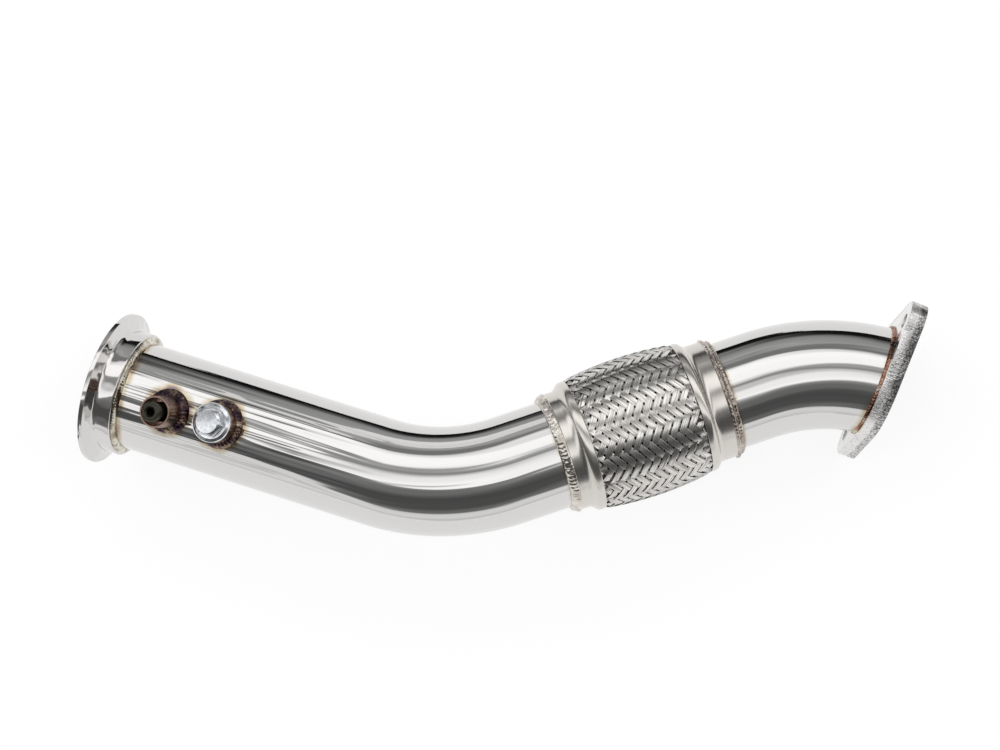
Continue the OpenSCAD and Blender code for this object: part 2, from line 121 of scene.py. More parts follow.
LEAN = turn(FLANGE_TILT_TURN, "X") @ turn(FLANGE_TILT, "Z")
FLANGE_BACK = on_outlet(OUTLET_LEG) @ LEAN
TALL_PORT = on_port(TALL_PORT_AT, TALL_PORT_CLOCK)
SHORT_PORT = on_port(SHORT_PORT_AT, SHORT_PORT_CLOCK)


# Meshes
def placed(points, place):
    """Points of an (n, 3) array carried to a place, still in millimetres."""
    m = np.array(place)
    return points @ m[:3, :3].T + m[:3, 3]


def angles(around):
    return np.linspace(0, 2 * np.pi, around, endpoint=False)


def ring(x, radius, around):
    """A ring about X, at x, as an (n, 3) array; x and radius may vary round it."""
    a = angles(around)
    return np.stack([x + 0 * a, radius * np.cos(a), radius * np.sin(a)], axis=1)


def standing_ring(radius, z, around):
    """A ring about Z, the axis of a port."""
    a = angles(around)
    return np.stack([radius * np.cos(a), radius * np.sin(a), z + 0 * a], axis=1)


def saddle(radius, around, lift=0.0):
    """Height of the pipe's outside under a ring about a port's axis."""
    return np.sqrt(PIPE_R**2 - (radius * np.sin(angles(around))) ** 2) + lift


def arc(centre, radius, start, end, steps):
    (x, y), a = centre, np.radians(np.linspace(start, end, steps + 1))
    return [(x + radius * math.cos(t), y + radius * math.sin(t)) for t in a]


def skin(rows, around, bands):
    """Faces of the first bands between rings of points; the last row meets the first."""
    i, j = np.meshgrid(np.arange(bands), np.arange(around), indexing="ij")
    n, k = (i + 1) % rows, (j + 1) % around
    corners = [i * around + j, i * around + k, n * around + k, n * around + j]
    return np.stack(corners, axis=-1).reshape(-1, 4)


def linked(name, mesh, finish):
    """A mesh put into the scene as an object, in one finish."""
    mesh.materials.clear()
    mesh.materials.append(finish)
    obj = bpy.data.objects.new(name, mesh)
    bpy.context.collection.objects.link(obj)
    return obj


def shade(mesh, crease):
    """Smooth, but for the edges that turn by more than the crease, in degrees."""
    mesh.shade_smooth()
    mesh.set_sharp_from_angle(angle=math.radians(crease))


def piece(name, vertices, faces, finish, crease):
    """A mesh of millimetre points made an object."""
    mesh = bpy.data.meshes.new(name)
    mesh.from_pydata((vertices * MM).tolist(), [], faces.tolist())
    shade(mesh, crease)
    return linked(name, mesh, finish)


def note(obj, name, values, domain="POINT"):
    """Stores one number or one vector a point on a piece, for its finish to read."""
    kind = "FLOAT" if values.ndim == 1 else "FLOAT_VECTOR"
    data = obj.data.attributes.new(name, kind, domain).data
    data.foreach_set("value" if kind == "FLOAT" else "vector", values.ravel())


def loft(name, rows, finish, place=None, straight=None, drawn=1.0, crease=32):
    """A skin over rings of equal count, closed round and from the last ring to the first.

    Each ring is in its own place, or all are in one. straight holds the same points on a
    pipe laid out straight, which the finishes read so that their marks follow the bends.
    drawn is how deep the long marks of the making are, as a share."""
    rows = [np.asarray(r, float) for r in rows]
    straight = np.concatenate(straight or rows)
    if place is not None:
        rows = [placed(r, place) for r in rows]
    vertices = np.concatenate(rows)
    faces = skin(len(rows), len(rows[0]), len(rows))
    a, b, c, d = (vertices[faces[:, q]] for q in range(4))
    volume = np.sum(np.cross(a, b) * c) + np.sum(np.cross(a, c) * d)
    if volume < 0:
        faces = faces[:, ::-1]
    obj = piece(name, vertices, faces, finish, crease)
    note(obj, "straight", straight * MM)
    note(obj, "weld_gap", weld_gap(vertices))
    note(obj, "drawn", drawn + np.zeros(len(vertices)))
    return obj


def settled(obj):
    """Runs a piece's modifiers once, and keeps the result as its plain mesh."""
    depsgraph = bpy.context.evaluated_depsgraph_get()
    mesh = bpy.data.meshes.new_from_object(
        obj.evaluated_get(depsgraph), preserve_all_data_layers=True, depsgraph=depsgraph
    )
    obj.modifiers.clear()
    old, obj.data = obj.data, mesh
    bpy.data.meshes.remove(old)
    mesh.name = obj.name
    return mesh


def show(obj, node):
    """The piece stands for its CAD node and rides on the one body."""
    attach(obj, "root")
    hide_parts(node)


# Heat of the welds
SEAM_POINTS, PORT_SEAM_POINTS = 120, 90
UNHEATED = 9.0
MEASURED_AT_ONCE = 4000


def port_seam(place, radius):
    height = saddle(radius, PORT_SEAM_POINTS)
    return placed(standing_ring(radius, height, PORT_SEAM_POINTS), place)


def pipe_seam(place, x=0.0):
    return placed(ring(x, PIPE_R, SEAM_POINTS), place)


def plate_plane(radius, around):
    """How far along the outlet pipe a ring meets the back of the leaning plate."""
    normal = np.array(LEAN.to_3x3() @ Vector((1, 0, 0)))
    return OUTLET_LEG - (ring(0, radius, around) @ normal) / normal[0]


SEAMS = [
    # points of the seam, and how far its heat reached along the steel in millimetres
    (pipe_seam(on_inlet(INLET_FLANGE_LENGTH + NECK_WELD_RUN)), 4.5),
    (port_seam(TALL_PORT, TALL_WELD_R), 5.5),
    (port_seam(SHORT_PORT, SHORT_WELD_R), 5.5),
    (pipe_seam(on_flex(FLEX_AT - COUPLER_BEAD_RUN)), 2.0),
    (pipe_seam(on_flex(FLEX_END + COUPLER_BEAD_RUN)), 2.5),
    (pipe_seam(on_outlet(), plate_plane(PIPE_R, SEAM_POINTS) - FLANGE_BEAD_LEG), 5.0),
]


def weld_gap(points):
    """Distance of each point to the nearest seam, 0 on it and 1 where its heat ends."""
    nearest = np.full(len(points), UNHEATED)
    for line, reach in SEAMS:
        middle = line.mean(axis=0)
        size = np.linalg.norm(line - middle, axis=1).max()
        close = np.where(np.linalg.norm(points - middle, axis=1) < size + 3 * reach)[0]
        for block in np.array_split(close, len(close) // MEASURED_AT_ONCE + 1):
            gap = np.linalg.norm(points[block, None] - line[None], axis=2).min(axis=1)
            nearest[block] = np.minimum(nearest[block], gap / reach)
    return nearest


# Nodes and colours
def srgb(code):
    """An sRGB hex value as linear red, green, blue and full alpha."""
    parts = [int(code[i : i + 2], 16) / 255 for i in (1, 3, 5)]
    linear = [c / 12.92 if c <= 0.04045 else ((c + 0.055) / 1.055) ** 2.4 for c in parts]
    return (*linear, 1.0)


def add(tree, kind, inputs=None, out=0, stops=(), **settings):
    """Adds a node, sets it, fills or links its inputs, and returns one of its outputs.

    A short kind is a shader's node. stops are the places and colours of a colour ramp."""
    made = tree.nodes.new(kind if "Node" in kind else "ShaderNode" + kind)
    for key, value in settings.items():
        setattr(made, key, value)
    for key, value in (inputs or {}).items():
        if isinstance(value, bpy.types.NodeSocket):
            tree.links.new(value, made.inputs[key])
        else:
            made.inputs[key].default_value = value
    if stops:
        marks = made.color_ramp.elements
        while len(marks) < len(stops):
            marks.new(0.5)
        for mark, (place, colour) in zip(marks, stops):
            mark.position = place
            mark.color = srgb(colour) if isinstance(colour, str) else colour
    return made.outputs[out] if len(made.outputs) else made


def new_finish(name):
    """An empty material, and the way to add a node to it."""
    finish = bpy.data.materials.new(name)
    finish.use_nodes = True
    finish.node_tree.nodes.clear()
    return finish, partial(add, finish.node_tree)


def metal(finish, node, colour, roughness, bump=None):
    """Makes a finish bare metal, and returns it."""
    looks = {"Base Color": colour, "Metallic": 1.0, "Roughness": roughness}
    if bump is not None:
        looks["Normal"] = bump
    node("OutputMaterial", {"Surface": node("BsdfPrincipled", looks)})
    return finish


def stretched(noise, low, high):
    """What a noise, which mostly lies between 0.3 and 0.7, is mapped to."""
    ends = {"From Min": 0.3, "From Max": 0.7, "To Min": low, "To Max": high}
    return {"Value": noise, **ends}


# colours that steel takes beside a weld, from the seam outwards
HEAT_STOPS = [
    (0.0, "#6f5f74"), (0.1, "#8a6f6c"), (0.24, "#b7977a"), (0.42, "#d8c6a2"),
    (0.7, "#efe9da"), (1.0, "#ffffff"),
]
TINTED = {"out": 2, "data_type": "RGBA", "blend_type": "MULTIPLY"}


def worked_steel(
    name, colour, roughness, spread, grain, height, fine, fine_height, heat=1.0
):
    """Bare steel with long and fine marks of its making, and heat colours by the welds.

    grain and fine are the marks' lengths along and across the pipe, and the two heights
    how deep they are, all in millimetres. heat is how strongly the welds coloured it."""
    finish, node = new_finish(name)
    laid = node("Attribute", out="Vector", attribute_name="straight")
    marks = []
    for (along, across), detail in ((grain, 1.0), (fine, 3.0)):
        scale = (1 / (along * MM), 1 / (across * MM), 1 / (across * MM))
        scaled = node("VectorMath", {0: laid, 1: scale}, operation="MULTIPLY")
        noise = {"Vector": scaled, "Scale": 1.0, "Detail": detail, "Roughness": 0.55}
        marks.append(node("TexNoise", noise))
    rough = node("MapRange", stretched(marks[1], roughness - spread, roughness + spread))
    drawn = node("Attribute", out="Fac", attribute_name="drawn")
    deep = node("Math", {0: marks[0], 1: drawn}, operation="MULTIPLY")
    broad = node("Bump", {"Height": deep, "Strength": 1.0, "Distance": height * MM})
    scratches = {"Height": marks[1], "Strength": 1.0, "Distance": fine_height * MM}
    bump = node("Bump", {**scratches, "Normal": broad})
    base = srgb(colour)
    if heat > 0:
        gap = node("Attribute", out="Fac", attribute_name="weld_gap")
        local = node("TexCoord", out="Object")
        patch = node("TexNoise", {"Vector": local, "Scale": 1 / (14 * MM), "Detail": 3.0})
        wander = node("MapRange", stretched(patch, -0.1, 0.5))
        reach = node("Math", {0: gap, 1: wander}, operation="ADD")
        tint = node("ValToRGB", {"Fac": reach}, stops=HEAT_STOPS)
        base = node("Mix", {"Factor": heat, 6: base, 7: tint}, **TINTED)
    return metal(finish, node, base, rough, bump)


# Mirror-polished stainless tube: drawn and buffed lengthways, so its mirror breaks up in
# long lines
tube_steel = worked_steel(
    "polished_stainless_tube", "#d3d2d1", roughness=0.055, spread=0.02,
    grain=(170, 6.6), height=2.2, fine=(60, 0.5), fine_height=0.0008, heat=0.8,
)
# Pressed stainless of the end caps: satin, with marks of the spinning tool round it
cap_steel = worked_steel(
    "pressed_stainless_cap", "#d0ccc6", roughness=0.2, spread=0.05, grain=(14, 34),
    height=0.06, fine=(0.6, 14), fine_height=0.002,
)
# Turned stainless of the clamp flange: bright, with fine rings from the lathe
turned_steel = worked_steel(
    "turned_stainless_flange", "#d2d0ce", roughness=0.06, spread=0.02, grain=(14, 12),
    height=0.9, fine=(0.35, 20), fine_height=0.002,
)
# Turned boss, browned right through by the heat of its weld
boss_steel = worked_steel(
    "heat_browned_boss", "#8f766b", roughness=0.26, spread=0.08, grain=(6, 6),
    height=0.04, fine=(0.4, 8), fine_height=0.004, heat=0.75,
)
# Stub of the pressure line: dull oiled steel
stub_steel = worked_steel(
    "oiled_steel_stub", "#4b4940", roughness=0.46, spread=0.1, grain=(4, 4),
    height=0.02, fine=(0.4, 5), fine_height=0.004, heat=0.0,
)


def bead_finish(name, roughness, spread, relief, stops):
    """Weld metal: its colour drifts along the seam, and its surface is finely pitted.

    stops are the ramp of that drift; relief is how strong the pits are."""
    finish, node = new_finish(name)
    local = node("TexCoord", out="Object")
    drift = node(
        "TexNoise",
        {"Vector": local, "Scale": 1 / (9 * MM), "Detail": 3.0, "Roughness": 0.6},
    )
    pits = node("TexNoise", {"Vector": local, "Scale": 1 / (0.9 * MM), "Detail": 3.0})
    colour = node("ValToRGB", {"Fac": drift}, stops=stops)
    rough = node("MapRange", stretched(pits, roughness - spread, roughness + spread))
    bump = node("Bump", {"Height": pits, "Strength": relief, "Distance": 0.05 * MM})
    return metal(finish, node, colour, rough, bump)


# Thin straw-gold bead on the neck of the clamp flange
gold_bead = bead_finish(
    "straw_gold_tig_bead", roughness=0.16, spread=0.05, relief=0.15,
    stops=[(0.3, "#7e7668"), (0.45, "#aba392"), (0.6, "#dedacf"), (0.75, "#857562")],
)
# Beads round the ports, burnt purple-black with brown and straw crests
port_bead = bead_finish(
    "burnt_purple_tig_bead",
    roughness=0.24,
    spread=0.08,
    relief=1.0,
    stops=[
        (0.3, "#1a161b"), (0.44, "#372b36"), (0.55, "#5a4743"), (0.64, "#94826c"),
        (0.78, "#cfc6b6"),
    ],
)
# Bright bead on the inlet side of the coupler
bright_bead = bead_finish(
    "bright_tig_bead", roughness=0.16, spread=0.06, relief=0.8,
    stops=[(0.3, "#a9a29a"), (0.5, "#cfc9c1"), (0.7, "#e2ddd6")],
)
# The same on its outlet side, a little browned
straw_bead = bead_finish(
    "browned_tig_bead", roughness=0.2, spread=0.07, relief=0.9,
    stops=[(0.3, "#75685f"), (0.48, "#aaa098"), (0.7, "#d8d1ca")],
)
# Copper-red to dark brown bead at the bolt plate
copper_bead = bead_finish(
    "copper_red_tig_bead",
    roughness=0.22,
    spread=0.08,
    relief=0.9,
    stops=[
        (0.3, "#2a2322"), (0.4, "#64483d"), (0.5, "#a9745c"), (0.58, "#a8988d"),
        (0.75, "#d8cfb8"),
    ],
)


# Pipes
PIPE_AROUND = 192


def pipe_rows(places):
    """Outer rings along the places and inner rings back, with their laid-out twins."""
    rows, straight = [], []
    for radius, stations in ((PIPE_R, places), (BORE_R, places[::-1])):
        for place, along in stations:
            rows.append(placed(ring(0, radius, PIPE_AROUND), place))
            straight.append(ring(along, radius, PIPE_AROUND))
    return rows, straight


def make_inlet_pipe():
    start = PIPE_SEAT + FIT_GAP
    length = math.radians(INLET_BEND) * INLET_BEND_R
    stations = [
        (on_inlet(x), x) for x in np.linspace(start, INLET_LEG, 102, endpoint=False)
    ]
    for part in np.linspace(0, 1, 56, endpoint=False):
        stations.append((on_inlet_bend(part * INLET_BEND), INLET_LEG + part * length))
    for x in np.linspace(0, FLEX_AT + PIPE_INSERT, 22):
        stations.append((on_flex(x), INLET_LEG + length + x))
    rows, straight = pipe_rows(stations)
    # the long lines are deep along the upper side of the first straight, and fade towards
    # its top, its underside and the bend; the edges are shares of the radius towards +Y
    top_edge, low_edge, fade, bend_fade = 0.78, -0.45, 0.2, 60
    middles = [place.translation for place, _ in stations + stations[::-1]]
    outward = np.concatenate(rows) - np.repeat(middles, PIPE_AROUND, axis=0)
    upward, along = outward[:, 1] / PIPE_R, np.concatenate(straight)[:, 0]
    below_top = np.clip((top_edge - upward) / fade, 0, 1)
    above_low = np.clip((upward - low_edge) / fade, 0, 1)
    ahead = np.clip((INLET_LEG + 10 - along) / bend_fade, 0, 1)
    drawn = 0.09 + below_top * above_low * (0.1 + 0.81 * ahead)
    return loft("inlet_tube", rows, tube_steel, straight=straight, drawn=drawn)


def make_outlet_pipe():
    length = math.radians(OUTLET_BEND) * OUTLET_BEND_R
    first = FLEX_END - PIPE_INSERT
    stations = [
        (on_flex(x) @ turn(OUTLET_ROLL, "X"), x)
        for x in np.linspace(first, FLEX_LEG, 18, endpoint=False)
    ]
    for part in np.linspace(0, 0.95, 44):
        stations.append((on_outlet_bend(part * OUTLET_BEND), FLEX_LEG + part * length))
    rows, straight = pipe_rows(stations)
    middle = len(stations)
    for radius in (BORE_R, PIPE_R):
        cut = plate_plane(radius, PIPE_AROUND) - SEAM_GAP
        flat = ring(cut, radius, PIPE_AROUND)
        rows.insert(middle, placed(flat, on_outlet()))
        straight.insert(middle, flat + [FLEX_LEG + length, 0, 0])
    return loft("outlet_tube", rows, tube_steel, straight=straight, drawn=0.14)


show(make_inlet_pipe(), "inlet_pipe")
show(make_outlet_pipe(), "outlet_pipe")


# Turned and pressed pieces
def turned(name, outline, place, finish, around=224):
    """A closed outline of along and radius, turned about X."""
    return loft(name, [ring(x, r, around) for x, r in outline], finish, place)


def make_inlet_flange():
    edge, bevel = 0.3, 1.0
    tilt = math.radians(CLAMP_ANGLE)
    run = RIM_R - edge - NECK_R - NECK_FILLET * (1 - math.sin(tilt))
    hollow_x = RIM_WIDTH + run * math.tan(tilt) + NECK_FILLET * math.cos(tilt)
    hollow = (hollow_x, NECK_R + NECK_FILLET)
    outline = [
        (GASKET_DEPTH, BORE_R), (GASKET_DEPTH, GASKET_R - 0.2),
        (GASKET_DEPTH - 0.2, GASKET_R), (0, GASKET_R + 0.2),
    ]
    outline += arc((edge, RIM_R - edge), edge, 180, 90, 4)
    outline += arc((RIM_WIDTH - edge, RIM_R - edge), edge, 90, 0, 4)
    outline += arc(hollow, NECK_FILLET, 180 + CLAMP_ANGLE, 270, 10)
    outline += arc((INLET_FLANGE_LENGTH - bevel, NECK_R - bevel), bevel, 90, 20, 4)
    outline += [
        (INLET_FLANGE_LENGTH, PIPE_R + FIT_GAP), (PIPE_SEAT, PIPE_R + FIT_GAP),
        (PIPE_SEAT, BORE_R),
    ]
    return turned("clamp_flange", outline, on_inlet(), turned_steel, 288)


def cap_outline(length, way):
    """Collar, double bend and rolled lip, from one sheet; way is 1 or -1 along it."""
    rise, run, rim_run, corner = LIP_R - CAP_R, 8.6, 2.6, 0.5
    sweep = math.degrees(2 * math.atan(rise / run))
    bend_r = (run * run + rise * rise) / (4 * rise)
    hollow = (CAP_R + bend_r, length - rim_run - run)
    swell = (LIP_R - bend_r, length - rim_run)
    lip = (LIP_R - CAP_WALL / 2, length - CAP_WALL / 2)
    outside = arc(hollow, bend_r, 180, 180 - sweep, 12)
    outside += arc(swell, bend_r, -0.92 * sweep, 0, 11)
    inside = arc(hollow, bend_r + CAP_WALL, 180, 180 - sweep, 12)
    inside += arc(swell, bend_r - CAP_WALL, -0.92 * sweep, 0, 11)
    points = [(CAP_R - CAP_WALL, 0), (CAP_R - corner, 0), (CAP_R, corner)]
    points += outside + arc(lip, CAP_WALL / 2, 0, 180, 8) + inside[::-1]
    return [(way * x, r) for r, x in points]


show(make_inlet_flange(), "inlet_flange")
for side, length, way, at in (
    ("inlet", INLET_CAP, 1, FLEX_AT),
    ("outlet", OUTLET_CAP, -1, FLEX_END),
):
    cap = turned(side + "_end_cap", cap_outline(length, way), on_flex(at), cap_steel)
    show(cap, "flex_%s_cap" % side)


# Ports
ON_PIPE = None


def upright(name, outline, place, finish, around):
    """A closed outline of radius and height, turned about a port; it may end ON_PIPE."""
    rows = []
    for radius, height in outline:
        if height is ON_PIPE:
            height = saddle(radius, around, SEAM_GAP)
        rows.append(standing_ring(radius, height, around))
    return loft(name, rows, finish, place)


def make_tall_boss():
    top, chamfer, bore = PIPE_R + TALL_HEIGHT, 0.25, STUB_R + FIT_GAP
    floor = top - WELL_DEPTH
    outline = [
        (TALL_R, ON_PIPE), (TALL_R, top - chamfer), (TALL_R - chamfer, top),
        (WELL_R + 0.5, top), (WELL_R, top - 0.6), (WELL_R, floor), (bore, floor),
        (bore, ON_PIPE),
    ]
    return upright("tall_port_boss", outline, TALL_PORT, boss_steel, 128)


def make_short_boss():
    top, chamfer, bore = PIPE_R + SHORT_HEIGHT, 0.4, THREAD_R + FIT_GAP
    outline = [
        (SHORT_R, ON_PIPE), (SHORT_R, top - chamfer), (SHORT_R - chamfer, top),
        (bore, top), (bore, ON_PIPE),
    ]
    return upright("short_port_boss", outline, SHORT_PORT, boss_steel, 128)


def make_stub():
    foot, top = PIPE_R + 1.5, PIPE_R + TALL_HEIGHT + STUB_RISE
    outline = [
        (STUB_R, foot), (STUB_R, top - 1.5), (STUB_R - 0.15, top - 1.2),
        (STUB_R - 1.3, top - 0.1), (STUB_R - 1.5, top), (STUB_R - 1.9, top),
        (STUB_R - 2.1, top - 0.25), (STUB_BORE_R + 1.3, top - 0.3),
        (STUB_BORE_R + 0.2, top - 1.5), (STUB_BORE_R, top - 1.8), (STUB_BORE_R, foot),
    ]
    return upright("pressure_line_stub", outline, TALL_PORT, stub_steel, 96)


show(make_tall_boss(), "tall_boss")
show(make_short_boss(), "short_boss")
show(make_stub(), "line_fitting")


# Trees that grow a mesh from a simpler one
def new_growth(name, sockets, result):
    """An empty geometry tree, the way to add a node to it, and what it is given."""
    tree = bpy.data.node_groups.new(name, "GeometryNodeTree")
    for title, kind in sockets.items():
        socket_type = "NodeSocket" + kind
        tree.interface.new_socket(title, in_out="INPUT", socket_type=socket_type)
    tree.interface.new_socket(result, in_out="OUTPUT", socket_type="NodeSocketGeometry")
    return tree, partial(add, tree), tree.nodes.new("NodeGroupInput").outputs


def grown(obj, tree, values):
    """Runs a tree on a piece once, and keeps the result as its plain mesh."""
    modifier = obj.modifiers.new("grow", "NODES")
    modifier.node_group = tree
    for item in tree.interface.items_tree:
        if item.in_out == "INPUT" and item.name in values:
            modifier[item.identifier] = values[item.name]
    settled(obj)
    return obj


# Weld beads
def ripple_tree():
    """Lifts a smooth bead into the overlapping ripples that a hand-fed weld leaves."""
    sockets = {
        "Bead": "Geometry",
        "Ripples": "Float",
        "Ripple Height": "Float",
        "Bow": "Float",
        "Lump Height": "Float",
        "Seed": "Float",
        "Finish": "Material",
    }
    tree, node, given = new_growth("weld_ripples", sockets, "Bead")
    place = node(
        "GeometryNodeInputNamedAttribute", {"Name": "bead"}, data_type="FLOAT_VECTOR"
    )
    parts = node("SeparateXYZ", {0: place}).node.outputs
    wander = node(
        "TexNoise",
        {"Scale": 1 / (3.4 * MM), "Detail": 1.0, "W": given["Seed"]},
        noise_dimensions="4D",
    )
    # place in the row of ripples: along the seam, bowed across it and a little uneven
    across = node("Math", {0: parts[1], 1: 2.0, 2: -1.0}, operation="MULTIPLY_ADD")
    across_2 = node("Math", {0: across, 1: across}, operation="MULTIPLY")
    row = node("Math", {0: parts[0], 1: given["Ripples"]}, operation="MULTIPLY")
    bow = {0: across_2, 1: given["Bow"], 2: row}
    bowed = node("Math", bow, operation="MULTIPLY_ADD")
    uneven = node("Math", {0: wander, 1: 0.9, 2: bowed}, operation="MULTIPLY_ADD")
    phase = node("Math", {0: uneven, 1: math.pi}, operation="MULTIPLY")
    wave = node("Math", {0: phase}, operation="SINE")
    ridge = node("Math", {0: wave}, operation="ABSOLUTE")
    ripple = node("Math", {0: ridge, 1: -0.6}, operation="ADD")
    size = {0: ripple, 1: given["Ripple Height"]}
    rise = node("Math", size, operation="MULTIPLY")
    lump = node("Math", {0: wander, 1: -0.5}, operation="ADD")
    lumps = {0: lump, 1: given["Lump Height"], 2: rise}
    lumped = node("Math", lumps, operation="MULTIPLY_ADD")
    # none at the toes, none on the hidden side
    across_4 = node("Math", {0: across_2, 1: across_2}, operation="MULTIPLY")
    toe = node("Math", {0: 1.0, 1: across_4}, operation="SUBTRACT")
    shown = node("Math", {0: toe, 1: parts[2]}, operation="MULTIPLY")
    lift = node("Math", {0: lumped, 1: shown}, operation="MULTIPLY")
    normal = node("GeometryNodeInputNormal")
    offset = node("VectorMath", {0: normal, "Scale": lift}, operation="SCALE")
    moved = node("GeometryNodeSetPosition", {"Geometry": given["Bead"], "Offset": offset})
    real = node("GeometryNodeRealizeInstances", {0: moved})
    dressed = node(
        "GeometryNodeSetMaterial", {"Geometry": real, "Material": given["Finish"]}
    )
    node("NodeGroupOutput", {0: dressed})
    return tree


RIPPLES = ripple_tree()
POINTS_A_RIPPLE, POINTS_A_PORT_RIPPLE = 7, 8


def bead(name, rows, shown_rows, finish, place, ripples, height, lumps, bow, seed):
    """A rippled weld: the first rings are its open side, the rest close it underneath.

    height and lumps are those of the ripples and of the unevenness, in millimetres."""
    obj = loft(name, rows, finish, place, crease=70)
    around = len(rows[0])
    along = np.tile(np.linspace(0, 1, around, endpoint=False), len(rows))
    part = np.clip(np.arange(len(rows)) / (shown_rows - 1), 0, 1)
    mask = (np.arange(len(rows)) < shown_rows).astype(float)
    marks = [along, np.repeat(part, around), np.repeat(mask, around)]
    note(obj, "bead", np.stack(marks, axis=1))
    values = {
        "Ripples": float(ripples),
        "Ripple Height": height * MM,
        "Bow": bow,
        "Lump Height": lumps * MM,
        "Seed": float(seed),
        "Finish": finish,
    }
    return grown(obj, RIPPLES, values)


def smooth_line(points, steps):
    """Points along a line through the given ones, evenly spaced and rounded."""
    points = np.array(points, float)
    for _ in range(3):
        cut = np.empty((2 * len(points) - 2, 2))
        cut[0::2] = 0.75 * points[:-1] + 0.25 * points[1:]
        cut[1::2] = 0.25 * points[:-1] + 0.75 * points[1:]
        points = np.vstack([points[:1], cut, points[-1:]])
    steps_gone = np.linalg.norm(np.diff(points, axis=0), axis=1)
    gone = np.concatenate([[0], np.cumsum(steps_gone)])
    at = np.linspace(0, gone[-1], steps)
    return np.stack([np.interp(at, gone, points[:, k]) for k in (0, 1)], axis=1)


def round_bead(name, shown, hidden, place, finish, ripples, height, lumps, seed, way=1):
    """A weld round the pipe, from an outline of along and radius; way is 1 or -1."""
    steps = 16
    outline = np.vstack([smooth_line(shown, steps), hidden])
    rows = [ring(way * x, r, ripples * POINTS_A_RIPPLE) for x, r in outline]
    return bead(name, rows, steps, finish, place, ripples, height, lumps, 0.55, seed)


# outlines of the beads, as along and radius, from the one steel to the other
TUBE_SKIN, CAP_SKIN = PIPE_R + SEAM_GAP, CAP_R + SEAM_GAP
ONE_RIDGE = [
    (-COUPLER_BEAD_RUN, TUBE_SKIN), (-4.2, 39.1), (-3.1, 40.5), (-1.5, 41.2),
    (0.1, 42.2), (1.1, 42.7), (1.9, 42.6), (COUPLER_BEAD_LAP, CAP_SKIN),
]
TWO_RIDGES = [
    (-COUPLER_BEAD_RUN, TUBE_SKIN), (-4.3, 39.6), (-3.4, 41.0), (-2.2, 40.9),
    (-1.4, 40.6), (-0.6, 41.9), (0.6, 43.2), (1.7, 43.0), (COUPLER_BEAD_LAP, CAP_SKIN),
]
COUPLER_HIDDEN = [(-SEAM_GAP, CAP_SKIN), (-SEAM_GAP, TUBE_SKIN)]
NECK_END = 19.56
NECK_BEAD = [
    (NECK_END, 41.9), (20.0, 42.5), (20.8, 42.1), (21.6, 40.9), (22.2, 39.6),
    (22.5, TUBE_SKIN),
]
NECK_HIDDEN = [(NECK_END, TUBE_SKIN)]


def port_weld(name, place, boss_r, weld_r, ripples, seed):
    """A weld that climbs and falls with the pipe round the foot of a boss."""
    steps, foot_r, around = 12, boss_r + SEAM_GAP, ripples * POINTS_A_PORT_RIPPLE
    rows = []
    for part in np.linspace(0, 1, steps):
        radius = foot_r + (weld_r - foot_r) * part
        crown = 0.86 * PORT_WELD_HEIGHT * math.sqrt(1 - part * part) * (1 - 0.15 * part)
        height = saddle(radius, around, SEAM_GAP + crown)
        rows.append(standing_ring(radius, height, around))
    for radius in ((boss_r + weld_r) / 2, foot_r):
        rows.append(standing_ring(radius, saddle(radius, around, SEAM_GAP), around))
    return bead(name, rows, steps, port_bead, place, ripples, 0.45, 1.3, 0.6, seed)


def plate_weld(name):
    """The weld in the corner between the outlet pipe and the leaning plate."""
    ripples, steps = 96, 14
    around, leg = ripples * POINTS_A_RIPPLE, FLANGE_BEAD_LEG
    rows = []
    for part in np.linspace(0, 1, steps):
        bulge = 0.4 * math.sin(math.pi * part)
        radius = TUBE_SKIN + 0.63 * leg * (1 - part) + bulge
        back = SEAM_GAP + leg * part * 0.95 + bulge * 0.6
        rows.append(ring(plate_plane(radius, around) - back, radius, around))
    rows.append(ring(plate_plane(TUBE_SKIN, around) - SEAM_GAP, TUBE_SKIN, around))
    return bead(name, rows, steps, copper_bead, on_outlet(), ripples, 0.3, 0.5, 0.5, 9)


neck_weld = round_bead(
    "neck_weld", NECK_BEAD, NECK_HIDDEN, on_inlet(), gold_bead, 120, 0.1, 0.4, seed=1
)
show(neck_weld, "inlet_flange_weld")
for side, shown, at, finish, height, lumps, seed, way in (
    ("inlet", ONE_RIDGE, FLEX_AT, bright_bead, 0.28, 1.7, 2, 1),
    ("outlet", TWO_RIDGES, FLEX_END, straw_bead, 0.25, 1.5, 3, -1),
):
    name, place = "coupler_%s_weld" % side, on_flex(at)
    weld = round_bead(
        name, shown, COUPLER_HIDDEN, place, finish, 88, height, lumps, seed, way
    )
    show(weld, "flex_%s_weld" % side)
for size, place, boss_r, weld_r, ripples, seed in (
    ("tall", TALL_PORT, TALL_R, TALL_WELD_R, 30, 4),
    ("short", SHORT_PORT, SHORT_R, SHORT_WELD_R, 34, 5),
):
    weld = port_weld(size + "_port_weld", place, boss_r, weld_r, ripples, seed)
    show(weld, size + "_boss_weld")
show(plate_weld("plate_weld"), "outlet_flange_weld")


# Braid
# Flat bundles of wire run both ways round the coupler, each over two and under two.
BUNDLES, BUNDLE_PITCH = 30, 6.75
BUNDLE_WIDTH, BUNDLE_CROWN = 4.25, 0.05
WIRES, WIRE_R = 8, 0.1
WEAVE_RISE = 0.26
# half the flat underside of a bundle, as a share of its width
BUNDLE_FLAT = 0.46
TUCK_FROM, TUCK_RUN, TUCK_DEPTH = 34.0, 5.0, 1.5


